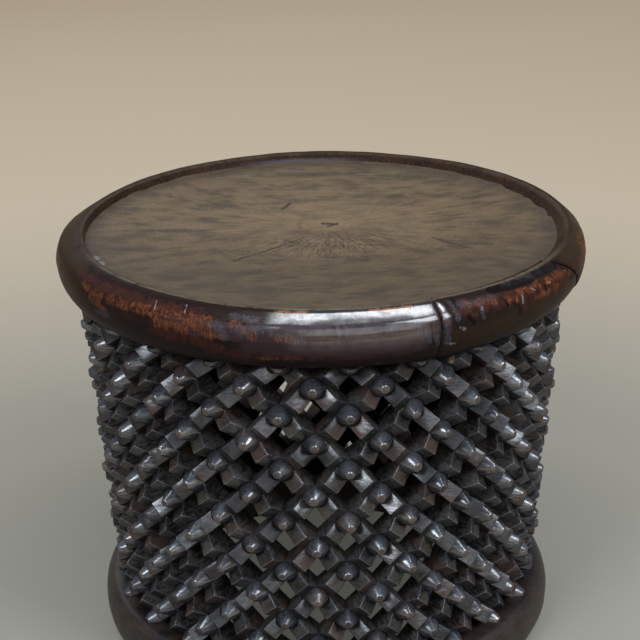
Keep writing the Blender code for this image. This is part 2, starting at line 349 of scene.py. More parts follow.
def grain_rays(toward, reach, turns, length, detail=2.0):
    """Noise drawn out along the rays from the pith: so many cells round, each of the given length."""
    along = reach.node("CombineXYZ", {}, {"Z": reach * (1 / length)})
    cells = vectors("ADD", vectors("MULTIPLY", toward, (turns / math.tau,) * 3), along)
    return mottle(cells, detail)


def finish_seat(seat):
    """End grain: rays and rings round the pith, soft dark smudges and checks, dirt and painted shade by
    the rim, and painted shade towards the front.
    """
    material, shader, place = new_finish("worn end grain", {"Specular IOR Level": 0.16})
    tones = SEAT_TONES
    flat = vectors("MULTIPLY", place, (1, 1, 0))
    from_pith = vectors("SUBTRACT", flat, tuple(PITH))
    reach = vectors("LENGTH", from_pith, output="Value")
    toward = vectors("NORMALIZE", from_pith)
    sideways = ease(coordinate(vectors("ABSOLUTE", toward), "X"), 0.45, 0.95)
    drift = mottle(stretched(place, 0.070, 0.050, 0.070))
    pores = mottle(stretched(place, 0.0013, 0.0010, 0.1), 2.0)
    clouds = mottle(stretched(place, 0.030, 0.020, 0.1), 3.0)
    wisps = mottle(stretched(place, 0.024, 0.0062, 0.1), 5.0, 0.62)
    rays = grain_rays(toward, reach, 110, 0.036, 4.0)
    streaks = wisps + (rays - wisps) * sideways
    threads = grain_rays(toward, reach, 290, 0.0135, 3.0)
    warped = reach + (drift - 0.5) * 0.020 + (clouds - 0.5) * 0.004
    rings = place.maths("SINE", warped * 900) * 0.5 + 0.5

    colour = tinted(ease(drift * 0.35 + clouds * 0.65, 0.40, 0.60), tones["smoke"], tones["tan"])
    colour = tinted(ease(streaks, 0.46, 0.66) * 0.50, colour, tones["pale"])
    gaps = ease(1 - streaks * 0.55 - clouds * 0.45, 0.48, 0.64)
    colour = tinted(gaps * 0.52, colour, tones["smudge_and_shade"])
    colour = tinted(ease(rings, 0.3, 0.9) * 0.10, colour, tones["smudge_and_shade"])
    stains = strokes(flat, on_seat(SEAT_SMUDGES), 1.0)
    colour = tinted(ease(stains + (streaks - 0.5) * 1.4, 0.05, 1.0) * 0.62, colour, tones["smudge_and_shade"])
    colour = tinted((1 - ease(reach, 0.045, 0.120)) * 0.30, colour, tones["pale"])
    below = ease(coordinate(toward, "Y") * -1, 0.10, 0.75)
    fan = ease(threads, 0.46, 0.58) * (1 - ease(reach, 0.060, 0.125)) * ease(reach, 0.010, 0.030)
    fan *= 0.25 + below * 0.75
    colour = tinted(fan * 0.75, colour, tones["dark"])
    arcs = most(*(1 - ease(warped.maths("ABSOLUTE", warped - radius), 0.0003, width)
                  for radius, width in SEAT_ARCS)) * below
    ring = reach + (clouds - 0.5) * 0.006 - HEART_RADIUS
    heart = 1 - ease(ring.maths("ABSOLUTE", ring), 0.0002, 0.0034)
    arcs = most(arcs, heart * ease(coordinate(toward, "X") * -1, -0.3, 0.4))
    drawn = arcs * ease(clouds * 0.4 + streaks * 0.6, 0.40, 0.60)
    colour = tinted(drawn * 0.45, colour, tones["dark"])
    colour = tinted(ease(pores, 0.56, 0.72) * 0.30, colour, tones["dark"])
    cracks = strokes(flat, on_seat(SEAT_CHECKS))
    colour = tinted(cracks * 0.85, colour, tones["crack"])
    flecks = strokes(flat, on_seat(SEAT_FLECKS), 0.7)
    colour = tinted(ease(flecks + (pores - 0.5) * 3.0, 0.35, 0.75), colour, tones["fleck"])
    # Painted shade: the seat is darkened towards its front and away from the pith.
    shaded = ease(coordinate(place, "Y") * -1 + (clouds - 0.5) * 0.04, -0.06, 0.13) * 0.34
    shaded += ease(reach, 0.05, 0.17) * 0.26
    colour = tinted(shaded, colour, tones["smudge_and_shade"])
    # Darker towards the rim's wall: partly dirt, partly painted shade in the corner under the wall.
    radius = vectors("LENGTH", flat, output="Value")
    grime_and_shade = ease(radius + (clouds - 0.5) * 0.03, 0.196, 0.224)
    feed(shader, "Base Color", tinted(grime_and_shade * 0.55, colour, tones["grime_and_shade"]))
    feed(shader, "Roughness", 0.50 + drift * 0.16)
    bump(shader, streaks * 0.8 + pores * 0.2 - cracks * 1.2 - fan * 0.4 - arcs * 0.3 - stains * 0.3,
         0.0006)
    seat.data.materials.append(material)


seat = make_seat()
finish_seat(seat)
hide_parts("seat_dish")
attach(seat, "root")

# The rolled rim, carved in one with the seat: dark red-brown and polished by handling, worn to
# orange along the front. Its section runs from the seat up the inner wall and round the outside.

RIM_FOOT, RIM_TOP = (corner.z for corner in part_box("seat_rim"))
RIM_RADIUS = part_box("seat_rim")[1].x
RIM_WAIST = RIM_TOP - 0.022
RIM_OVER = 0.0192
RIM_UNDERCUT = 0.024
RIM_WALL_RADIUS = 0.2214
CREST_DRIFT = 0.0032
CREST_EASE = Vector((0.0024, 0.0009))
RIM_SPACING = 0.0024
BEVEL_LOW, BEVEL_HIGH, BEVEL_ROUND = math.radians(32), math.radians(79), 0.16
ROUND = {"wall": 5, "crest": 4, "bevel": 5, "over": 7, "under": 16}
UNEVEN = ((0.110, 0.0011), (0.032, 0.00040), (0.011, 0.00014))
RIM_SHARP_TURN = math.radians(50)
NOTCH_RADIUS = 0.2294
NOTCH_START = math.radians(23)
NOTCH_END_TOP, NOTCH_END_FOOT = math.radians(57), math.radians(73)
NOTCH_END_BEND = 0.65
JOINT_STEPS = (0.0, 0.0003, 0.0009, 0.0020, 0.0038)
JOINT_WEAR = 0.0008
THIN_STEPS = 24


def crest_radius(angle):
    """The crest's radius, which lies nearer the edge on the right than on the left."""
    return RIM_RADIUS - RIM_OVER - CREST_DRIFT / 3 + CREST_DRIFT * math.sin(angle)


def over_point(crest, turn):
    """Radius, height and outward direction of the rim's upper half, by the turn up from its waist.

    It is a quarter of an ellipse, with a flat bevel rubbed on it below the crest.
    """
    def on_ellipse(angle):
        return Vector((crest + (RIM_RADIUS - crest) * math.cos(angle),
                       RIM_WAIST + (RIM_TOP - RIM_WAIST) * math.sin(angle)))
    if not BEVEL_LOW < turn < BEVEL_HIGH:
        return (*on_ellipse(turn), (math.cos(turn), math.sin(turn)))
    low, high = on_ellipse(BEVEL_LOW), on_ellipse(BEVEL_HIGH)
    run = high - low
    place = low + run * (turn - BEVEL_LOW) / (BEVEL_HIGH - BEVEL_LOW)
    place = place.lerp(on_ellipse(turn), BEVEL_ROUND)
    return (*place, (run.y / run.length, -run.x / run.length))


def under_point(turn):
    """Radius, height and outward direction of the rim's lower half, by the turn down from its waist."""
    return (RIM_RADIUS - RIM_UNDERCUT * (1 - math.cos(turn)),
            RIM_WAIST - (RIM_WAIST - RIM_FOOT) * math.sin(turn), (math.cos(turn), -math.sin(turn)))


def rim_section(angle):
    """Section points (radius, height, outward direction) round the rim, from its inner foot."""
    crest = crest_radius(angle)
    section = [(RIM_WALL_RADIUS, RIM_FOOT, (-1, 0))]
    edge = (crest - CREST_EASE.x, RIM_TOP - CREST_EASE.y)
    for step in range(ROUND["wall"]):
        share = step / ROUND["wall"]
        section.append((RIM_WALL_RADIUS + share * (edge[0] - RIM_WALL_RADIUS),
                        SEAT_EDGE_HEIGHT + share * (edge[1] - SEAT_EDGE_HEIGHT), (-0.7, 0.7)))
    section.append((*edge, (-0.5, 0.85)))
    for high, low, name in ((math.pi / 2, BEVEL_HIGH, "crest"), (BEVEL_HIGH, BEVEL_LOW, "bevel"),
                            (BEVEL_LOW, 0, "over")):
        section += [over_point(crest, high + (low - high) * step / ROUND[name])
                    for step in range(ROUND[name])]
    section += [under_point(math.pi / 2 * step / ROUND["under"]) for step in range(ROUND["under"] + 1)]
    return section


def around(radius, angle, height):
    """A point at an angle round the stool, counted from the front towards the right."""
    return Vector((radius * math.sin(angle), -radius * math.cos(angle), height))


def notch_end(height):
    """Angle at which the repair ends: its scarf joint leans to the right on its way down."""
    share = min(1.0, max(0.0, (RIM_TOP - height) / (RIM_TOP - RIM_FOOT)))
    return NOTCH_END_TOP + (NOTCH_END_FOOT - NOTCH_END_TOP) * share ** NOTCH_END_BEND


def stretch_stations(length, start_sides, end_sides):
    """Stations along a stretch of rim: a share of it and an offset, closer at its joints."""
    stations = [(0.0, offset) for offset in start_sides]
    stations_end = [(1.0, -offset) for offset in reversed(end_sides)]
    first, last = max(start_sides) / length, 1 - max(end_sides) / length
    count = max(2, round((last - first) * length / RIM_SPACING))
    stations += [(first + (last - first) * step / count, 0.0) for step in range(1, count)]
    return stations + stations_end


def carved(place, direction, wear, seed):
    """Move a surface point by the carver's unevenness, and sink it where a joint has worn."""
    shift = -wear
    for size, depth in UNEVEN:
        shift += depth * noise.noise(place / size + Vector((seed, 0, 0)))
    return place + direction * shift


def sweep(stations, start, end, limit, seed):
    """Section loops along a stretch of rim between two joints, kept on their side of the notch."""
    loops = []
    for share, offset in stations:
        loop = []
        azimuth = start(RIM_TOP) * (1 - share) + end(RIM_TOP) * share
        for radius, height, (out, up) in rim_section(azimuth):
            kept = limit(radius)
            angle = start(height) * (1 - share) + end(height) * share + offset / RIM_RADIUS
            place = around(kept, angle, height)
            near = abs(offset) if share in (0.0, 1.0) else max(JOINT_STEPS)
            wear = JOINT_WEAR * max(0.0, 1 - near / max(JOINT_STEPS)) ** 2
            if kept == radius and up != 0:
                place = carved(place, around(out, angle, up), wear, seed)
            place.z = max(RIM_FOOT, place.z)
            loop.append(place)
        loops.append(loop)
    return loops


def joined(loops, ring):
    """Vertices and faces of section loops joined in order, capped at the ends or closed round."""
    count = len(loops[0])
    vertices = [vertex for loop in loops for vertex in loop]
    faces = []
    for index in range(len(loops) if ring else len(loops) - 1):
        near, far = index * count, (index + 1) % len(loops) * count
        for step in range(count):
            following = (step + 1) % count
            faces.append((near + step, near + following, far + following, far + step))
    if not ring:
        faces.append(range(count))
        faces.append(range(len(vertices) - count, len(vertices)))
    return vertices, faces


def make_rim():
    """The rim: a full section most of the way round, and only its inner wall behind the repair."""
    length = (math.tau - NOTCH_END_TOP + NOTCH_START) * RIM_RADIUS
    stations = stretch_stations(length, JOINT_STEPS, JOINT_STEPS)
    loops = sweep(stations, notch_end, lambda height: NOTCH_START + math.tau, lambda radius: radius, 0)
    thin = [(step / THIN_STEPS, 0.0) for step in range(THIN_STEPS + 1)]
    loops += sweep(thin, lambda height: NOTCH_START, notch_end,
                   lambda radius: min(radius, NOTCH_RADIUS), 0)
    return solid_of("rolled_rim", *joined(loops, ring=True), sharp=RIM_SHARP_TURN)


ROLL_RADIUS = 0.0215
ROLL_CENTRE = Vector((RIM_RADIUS - ROLL_RADIUS, RIM_WAIST))
RIM_TONES = {
    "dark": (0.018, 0.012, 0.010), "red": (0.070, 0.0235, 0.0155), "rust": (0.080, 0.027, 0.015),
    "orange": (0.186, 0.062, 0.026), "amber": (0.32, 0.120, 0.045), "dust": (0.076, 0.056, 0.038),
    "brown": (0.047, 0.028, 0.014), "umber": (0.020, 0.012, 0.010), "russet": (0.056, 0.025, 0.017),
    "plum": (0.058, 0.032, 0.033), "slate": (0.078, 0.082, 0.098), "fleck": (0.24, 0.21, 0.21),
    "sheen": (0.115, 0.115, 0.130), "rubbed_and_sheen": (0.122, 0.090, 0.059), "chalk": (0.46, 0.45, 0.45),
    "black": (0.006, 0.004, 0.004)}
CRISP_MARKS, CRISP, SOFT = ("amber", "chalk", "black"), 0.6, 0.95


def unrolled(azimuth, turn):
    """A mark's place on the rim's skin laid flat: metres round the stool, metres up from the waist."""
    angle, turn = math.radians(azimuth), math.radians(turn)
    radius, height = (over_point(crest_radius(angle), turn) if turn >= 0 else under_point(-turn))[:2]
    up = math.atan2(height - ROLL_CENTRE.y, radius - ROLL_CENTRE.x) * ROLL_RADIUS
    return angle * RIM_RADIUS, up, 0


def rim_skin(place):
    """The same flat layout worked out on the surface, and slightly wavering like a hand's work."""
    radius = vectors("LENGTH", vectors("MULTIPLY", place, (1, 1, 0)), output="Value")
    azimuth = place.maths("ARCTAN2", coordinate(place, "X"), coordinate(place, "Y") * -1)
    turn = place.maths("ARCTAN2", coordinate(place, "Z") - ROLL_CENTRE.y, radius - ROLL_CENTRE.x)
    skin = place.node("CombineXYZ", {}, {"X": azimuth * RIM_RADIUS, "Y": turn * ROLL_RADIUS})
    cells = stretched(place, 0.009, 0.009, 0.009)
    waver = place.node("TexNoise", {}, {"Vector": cells, "Scale": 1.0}, "Color")
    waver = vectors("MULTIPLY", vectors("SUBTRACT", waver, (0.5, 0.5, 0.5)), (0.0045, 0.0030, 0))
    return vectors("ADD", skin, waver), radius, azimuth


def rim_marks(skin, rows, softness):
    """The strongest of the marks, given by two ends in degrees and half their width in millimetres."""
    marks = [(unrolled(*row[:2]), unrolled(*row[2:4]), row[4] * MM) for row in rows]
    return strokes(skin, marks, softness)


def ragged(share, change):
    """A mark's share changed by texture, but only where the mark has some share already."""
    return share + change * ease(share, 0.0, 0.35)


# Marks on the rim: from azimuth, turn to azimuth, turn in degrees, and half the width
RIM_MARKS = {
    "orange": ((-57, 30, -50, 17, 8), (-47, 24, -36, 31, 8), (-34, 31, -22, 34, 9.5),
        (-33, 10, -25, 14, 9), (-25, 24, -20.5, 0, 11), (-17, 36, -13, 12, 8), (-53, 4, -48, -2, 6),
        (-9, 10, -4, 2, 5), (-12, -32, -4, -30, 3), (76, 26, 86, 20, 16), (-100, 20, -92, 8, 14),
        (150, 30, 163, 25, 15)),
    "red": ((-50, 40, -24, 46, 12), (-34, -4, -22, -10, 13), (-24, -17, -14, -30, 9),
        (-13, -30, 2, -24, 8), (-60, 45, -40, 50, 10), (-80, 10, -66, 20, 14), (62, 10, 74, 20, 17)),
    "plum": ((-13, 14, 20, 4, 23), (-14, -14, 18, -18, 12), (-30, 20, -12, 10, 12)),
    "amber": ((-9, 74, -3, 74, 2), (9.5, 73, 18, 71, 2.4)),
    "slate": ((-20.5, 28, -18.5, 4, 7.5), (-9.5, 20, -4, 3, 6.5), (-17.5, 55, -13, 48, 6),
        (-51, -12, -47, -10, 5), (3, 34, 3, 4, 2.6), (4.5, 33, 4.5, 8, 2.4), (12, 14, 13.5, 27, 3.6),
        (19, 12, 22, -16, 9.5), (-16, 20, -9, 34, 10)),
    "chalk": ((-34.5, 35, -35, 58, 0.9), (-27.5, 44, -28, 64, 0.9), (22.2, 68, 22.3, 36, 1.2)),
    "black": ((-5, 74, -4.6, 38, 0.8), (2, 76, 2.1, 34, 1), (-73, 84, -72, 76, 3),
        (2.4, 33, 2.6, 10, 1.1), (130, 80, 131, 20, 0.8), (-140, 70, -139, -5, 0.9),
        (178, 80, 179, 30, 0.8), (20.8, 20, 21.4, -22, 1.6)),
    "brown": ((64, 60, 110, 50, 18), (150, 40, 210, 40, 15), (-110, 62, -62, 58, 15),
        (-84, 20, -60, 0, 16)),
    "gloss": ((-5, 52, 20, 48, 29), (-4, 16, 18, 12, 20))}


def finish_rim_wood(name, marks, red_share, polish):
    """Dark wood, dusty on its crest, worn through in places and polished where knees rub it, with a
    painted reflection low on the recess wall at the back.
    """
    material, shader, place = new_finish(name, {
        "Specular IOR Level": 0.03, "Coat Roughness": 0.16, "Coat IOR": 2.0})
    tones = RIM_TONES
    skin, radius, azimuth = rim_skin(place)
    height = coordinate(place, "Z")
    clouds = mottle(stretched(place, 0.030, 0.030, 0.020))
    blotch = mottle(stretched(place, 0.0075, 0.0075, 0.0090), 4.0, 0.65)
    grain = mottle(stretched(place, 0.020, 0.020, 0.0022), 3.0)
    scores = mottle(stretched(place, 0.0022, 0.0022, 0.0140), 4.0, 0.6)
    specks = mottle(stretched(place, 0.0016, 0.0016, 0.0020), 3.0)
    smears = mottle(stretched(place, 0.014, 0.014, 0.0036), 4.0, 0.6)
    rough = ease(scores * 0.45 + blotch * 0.35 + specks * 0.20, 0.38, 0.62)
    hatch = ease(scores * 0.65 + specks * 0.35, 0.38, 0.62)
    shares = {kind: rim_marks(skin, rows, CRISP if kind in CRISP_MARKS else SOFT)
              for kind, rows in marks.items()}

    red = ease(clouds * 0.45 + grain * 0.30 + scores * 0.25, 0.44, 0.60) * red_share
    red = most(red, ease(ragged(shares["red"], (rough - 0.5) * 0.8), 0.15, 0.95))
    broken = 0.30 + hatch * 0.35 + ease(blotch, 0.40, 0.60) * 0.35
    colour = tinted(red * broken, tones["dark"], tones["red"])
    colour = tinted(shares["brown"] * (0.45 + rough * 0.55), colour, tones["brown"])
    plum = ease(ragged(shares["plum"], (grain + blotch - 1) * 1.6), 0.10, 0.80)
    colour = tinted(plum * 0.8, colour, tones["plum"])
    worn = ragged(shares["orange"], (rough - 0.5) * 0.5 + (smears + blotch - 1) * 1.5)
    worn = ease(worn, 0.22, 1.05)
    bared = ease(smears * 0.50 + blotch * 0.20 + hatch * 0.30, 0.38, 0.66)
    bared = tinted(bared, tones["rust"], tones["orange"])
    colour = tinted(worn * (0.62 + hatch * 0.33), colour, bared)
    slate = ragged(shares["slate"], (hatch - 0.5) * 0.9 + (specks - 0.5) * 0.8)
    colour = tinted(ease(slate, 0.30, 1.0) * 0.48, colour, tones["slate"])
    flecked = ease(specks * 0.7 + scores * 0.3, 0.60, 0.68) * shares["slate"]
    colour = tinted(flecked * 0.4, colour, tones["fleck"])

    past_crest = radius - place.maths("SINE", azimuth) * CREST_DRIFT - crest_radius(0)
    past_crest += (specks - 0.5) * 0.0016 + (blotch - 0.5) * 0.0022
    outside = ease(past_crest, -0.0008, 0.0008)
    dusty = tinted(ease(blotch * 0.5 + clouds * 0.5, 0.36, 0.60), tones["brown"], tones["dust"])
    colour = tinted(1 - outside, colour, dusty)
    back = ease(coordinate(place, "Y") + (clouds - 0.5) * 0.08, -0.05, 0.05)
    inner = 1 - ease(height + (blotch - 0.5) * 0.002, RIM_TOP - 0.0035, RIM_TOP - 0.0012)
    recess = (1 - outside) * inner * (0.25 + back * 0.65)
    deep = tinted(ease(clouds * 0.5 + hatch * 0.5, 0.35, 0.65), tones["umber"], tones["russet"])
    colour = tinted(recess, colour, deep)
    # Painted reflection: a pale bluish band painted low on the recess wall at the back.
    lit = coordinate(place, "X") + 0.018
    sheen = (1 - ease(lit.maths("ABSOLUTE", lit), 0.020, 0.080)) * recess * back
    sheen *= 1 - ease(height + (blotch - 0.5) * 0.003, SEAT_EDGE_HEIGHT + 0.0022,
                      SEAT_EDGE_HEIGHT + 0.0050)
    colour = tinted(sheen * 0.7, colour, tones["sheen"])
    line = 1 - ease(past_crest.maths("ABSOLUTE", past_crest - 0.0010), 0.0012, 0.0032)
    front = 1 - ease(coordinate(place, "Y"), -0.17, -0.05)
    rubbed_and_sheen = line * front * ease(clouds * 0.4 + blotch * 0.6, 0.30, 0.52)
    colour = tinted(rubbed_and_sheen, colour, tones["rubbed_and_sheen"])
    for kind, strength in (("amber", 0.85), ("chalk", 0.35), ("black", 0.80)):
        share = ease(ragged(shares[kind], (rough - 0.5) * 1.3), 0.30, 0.95)
        colour = tinted(share * strength, colour, tones[kind])
    feed(shader, "Base Color", colour)
    feed(shader, "Roughness", 0.42 + (scores - 0.5) * 0.3 + (1 - outside) * 0.25)
    patchy = ease(clouds * 0.3 + blotch * 0.4 + grain * 0.3, 0.40, 0.56)
    gloss = (shares["gloss"] * 1.1 + polish) * (0.55 + patchy * 0.30 + rough * 0.15)
    feed(shader, "Coat Weight", gloss * (0.15 + outside * 0.85) * (1 - worn * 0.4) * (1 - line * 0.6))
    bump(shader, grain * 0.2 + scores * 0.3 + blotch * 0.5 - shares["black"] * 4.0 - worn * 0.5,
         0.00011)
    return material


rim = make_rim()
rim.data.materials.append(finish_rim_wood("polished rim", RIM_MARKS, 0.38, 0.03))
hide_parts("seat_rim")
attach(rim, "root")

# The repair: one length of rim let in as a separate block, with an upright joint at the front
# and a leaning scarf on the right. It is rougher than the rim, dented and scuffed.

REPAIR_GAP = 0.00035
REPAIR_MARKS = {
    "orange": ((30, 48, 37, 42, 6), (38.5, 36, 41, 28, 5), (43, 42, 50, 38, 6.5), (53, 42, 57, 36, 7),
        (47, 14, 56, 10, 5.5), (58, 34, 62, 20, 5)),
    "red": ((27, 42, 58, 30, 13), (44, 10, 60, 5, 12)),
    "slate": ((32.3, 38, 32.3, 10, 3.6), (26, 66, 26.5, 20, 4.2), (23.8, 6, 24.6, -24, 7.5),
        (40, 74, 57, 62, 6)),
    "amber": ((61, 64, 62, 50, 2.6), (45.4, -61, 45.8, -60, 2), (52, 32, 53, 29, 1.8)),
    "chalk": ((27, 2, 28, -3, 2), (43.2, 28, 43, 12, 1.2), (46.5, 36, 47, 30, 1),
        (23.7, 64, 23.6, 26, 1.3), (32.6, 34, 32.4, 28, 1.1), (24.3, -22, 26, -26, 1.4)),
    "black": ((38, 40, 38.6, 20, 1.8), (50, 42, 51, 18, 2.2), (27, 68, 27.4, 48, 2),
        (36, 70, 48, 60, 5), (41.5, 10, 42, -8, 1.6), (29, 20, 30, 0, 3), (50, 66, 58, 60, 5)),
    "plum": ((23.6, 50, 24.5, 0, 5),),
    "brown": ((26, -18, 48, -12, 17), (50, -20, 64, -25, 13)),
    "gloss": ((23.5, 60, 24.5, 20, 5), (28, 54, 36, 48, 6))}


def make_repair():
    limit = lambda radius: max(radius, NOTCH_RADIUS + REPAIR_GAP)
    start = lambda height: NOTCH_START + REPAIR_GAP / RIM_RADIUS
    end = lambda height: notch_end(height) - REPAIR_GAP / RIM_RADIUS
    stations = stretch_stations((NOTCH_END_TOP - NOTCH_START) * RIM_RADIUS, JOINT_STEPS, JOINT_STEPS)
    loops = sweep(stations, start, end, limit, 3)
    return solid_of("let_in_block", *joined(loops, ring=False), sharp=RIM_SHARP_TURN)


repair = make_repair()
repair.data.materials.append(finish_rim_wood("repair block", REPAIR_MARKS, 0.20, 0.02))
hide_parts("rim_repair_segment")
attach(repair, "root")

# The drum's wall, pierced right through into a lattice. A blunt stud stands on every crossing,
# and the bars between them rise to a ridge halfway. All cut by hand, so no two are quite alike.

WALL_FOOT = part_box("lattice_panel_01")[0].z
WALL_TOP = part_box("lattice_panel_01")[1].z
WALL_RADIUS_TOP, WALL_RADIUS_FOOT = 0.2212, 0.2007
WALL_DEPTH, BACK_DEPTH = 0.017, 0.011
COLUMNS, PANEL_COLUMNS, HALF_ROWS = 48, 4, 12
COLUMN_TURN = 2 * math.pi / COLUMNS
FIRST_TURN = math.radians(-1.7)
HALF_ROW = (WALL_TOP - WALL_FOOT) / HALF_ROWS
CORNER_SHARE, BACK_SHARE = 0.395, 0.055
RIDGE_HEIGHT = 0.0100
FOOT_RISE = 0.0028
EDGE_DROP, RIDGE_DROP = 0.0008, 0.0004
ACROSS_SHARES = (0.0, 0.05, 0.36, 0.64, 0.95, 1.0)
ALONG_SHARES = (0.0, 0.12, 0.55, 0.95, 1.0)
DEPTH_SHARES = (0.35, 1.0)
STUD_RADIUS, STUD_HEIGHT = 0.0110, 0.0126
STUD_RINGS = (  # share of the radius, share of the height, wear
    (0.98, 0.05, 0.36), (0.86, 0.24, 0.36), (0.61, 0.60, 0.36), (0.385, 0.90, 0.36),
    (0.33, 0.965, 0.55), (0.24, 1.0, 1.0))
LATTICE_SHARP_TURN = math.radians(58)
HAND = {"place": 0.0009, "corner": 0.09, "ridge": 0.20, "middle": 0.065, "lean": 0.0014,
        "rough": 0.00032, "girth": 0.06, "tall": 0.08}
LATTICE_TONES = {
    "front dark": (0.009, 0.009, 0.010), "front": (0.054, 0.047, 0.047),
    "inside dark": (0.018, 0.016, 0.015), "inside": (0.105, 0.092, 0.083),
    "rubbed_and_sheen": (0.092, 0.100, 0.124), "brown": (0.085, 0.042, 0.029), "spots": (0.50, 0.33, 0.18),
    "tip dark": (0.030, 0.016, 0.012), "tip": (0.140, 0.088, 0.068),
    "grime_and_shade": (0.014, 0.012, 0.011), "back": (0.003, 0.0026, 0.0022)}
RUBBED_SPOTS = (
    ((-0.1178, -0.1858, 0.3008), 0.0085), ((-0.1415, -0.1701, 0.3207), 0.0055),
    ((-0.1413, -0.1670, 0.2806), 0.0050), ((-0.1585, -0.1488, 0.2591), 0.0050),
    ((-0.0916, -0.1977, 0.2698), 0.0045), ((0.0794, -0.2070, 0.3262), 0.0060),
    ((0.1097, -0.1941, 0.3459), 0.0060))


def wall_radius(height):
    share = (height - WALL_FOOT) / (WALL_TOP - WALL_FOOT)
    return WALL_RADIUS_FOOT + share * (WALL_RADIUS_TOP - WALL_RADIUS_FOOT)


def behind(angle):
    """0 at the drum's front, rising to 1 at its back, where the wall is left stouter."""
    return 0.5 - 0.5 * math.cos(angle)


def by_hand(kind, *key):
    """A small deviation from -1 to 1 that belongs to one stud, corner or bar."""
    return random.Random(f"{kind} {key}").uniform(-1, 1)


def crossing_place(column, row):
    """Angle and height of a crossing, with the slow wander of the carver's rows and its own."""
    angle = FIRST_TURN + column * COLUMN_TURN
    if row in (0, HALF_ROWS):
        return angle, WALL_TOP - row * HALF_ROW
    sway = 0.0048 * math.exp(-(row - 1) / 2.5) * math.cos(2 * angle) - 0.0008
    height = WALL_TOP - row * HALF_ROW + sway + HAND["place"] * by_hand("up", column % COLUMNS, row)
    turned = math.degrees(math.atan2(math.sin(angle), math.cos(angle)))
    drift = -0.0015
    for depth, middle, width in ((0.0035, -28, 16), (0.003, 55, 12)):
        drift -= depth * math.exp(-((turned - middle) / width) ** 2)
    drift += HAND["place"] * by_hand("along", column % COLUMNS, row)
    return angle + drift / wall_radius(height), height



def wall_point(angle, height, proud):
    roughness = HAND["rough"] * noise.noise(around(1, angle, height * 4) * 45)
    return around(wall_radius(height) + proud + roughness, angle, height)


def corner_offset(crossing, side):
    """How far a hole's corner lies from its crossing, as an angle and a height."""
    column, row = crossing
    share = CORNER_SHARE * (1 + HAND["corner"] * by_hand("corner", column % COLUMNS, row, side))
    share += BACK_SHARE * behind(column * COLUMN_TURN)
    return {"right": (share * COLUMN_TURN, 0), "left": (-share * COLUMN_TURN, 0),
            "up": (0, share * HALF_ROW), "down": (0, -share * HALF_ROW)}[side]


def moved(place, offset):
    return [place[0] + offset[0], place[1] + offset[1]]


def part_way(near, far, share):
    return [near[0] + (far[0] - near[0]) * share, near[1] + (far[1] - near[1]) * share]


